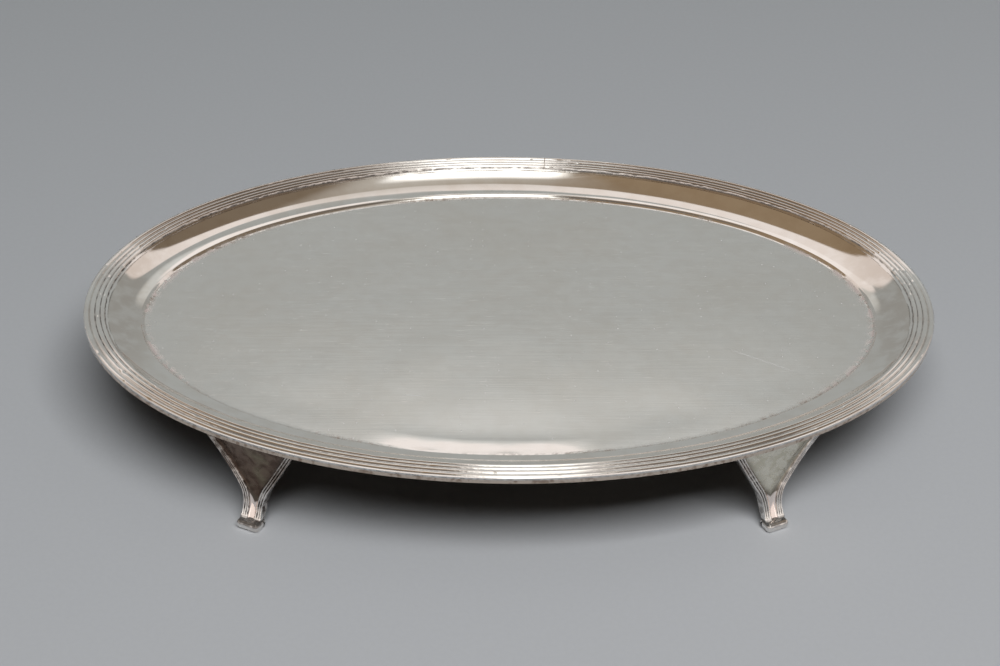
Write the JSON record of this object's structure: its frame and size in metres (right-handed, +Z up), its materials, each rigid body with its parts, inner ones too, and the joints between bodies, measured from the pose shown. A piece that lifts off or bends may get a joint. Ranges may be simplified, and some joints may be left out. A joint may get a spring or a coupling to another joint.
{
  "type": "oval footed salver",
  "caption": "Oval silver salver: flat well, hollow raised border, applied reeded rim and splayed panel feet with reeded edges.",
  "frame": {"origin": "centre of the oval footprint, on the surface the toes stand on", "axes": "+X along the oval's length, +Y towards the back, +Z up"},
  "size_m": [0.184, 0.1264, 0.0235],
  "materials": {
    "silver_sheet": "worn satin polish",
    "silver_wire": "polished, with tarnish in the grooves",
    "silver_solder": "dull",
    "silver_panel": "mottled light tarnish",
    "silver_foot": "polished, with tarnish in the grooves"
  },
  "bodies": {
    "root": {"tray_plate": "silver_sheet", "rim_wire": "silver_wire", "rim_butt_solder": "silver_solder", "rim_solder": "silver_solder", "foot_panel_back_right": "silver_panel", "foot_reed_left_back_right": "silver_foot", "foot_reed_right_back_right": "silver_foot", "foot_toe_back_right": "silver_foot", "foot_solder_back_right": "silver_solder", "foot_panel_back_left": "silver_panel", "foot_reed_left_back_left": "silver_foot", "foot_reed_right_back_left": "silver_foot", "foot_toe_back_left": "silver_foot", "foot_solder_back_left": "silver_solder", "foot_panel_front_left": "silver_panel", "foot_reed_left_front_left": "silver_foot", "foot_reed_right_front_left": "silver_foot", "foot_toe_front_left": "silver_foot", "foot_solder_front_left": "silver_solder", "foot_panel_front_right": "silver_panel", "foot_reed_left_front_right": "silver_foot", "foot_reed_right_front_right": "silver_foot", "foot_toe_front_right": "silver_foot", "foot_solder_front_right": "silver_solder"}
  },
  "joints": []
}
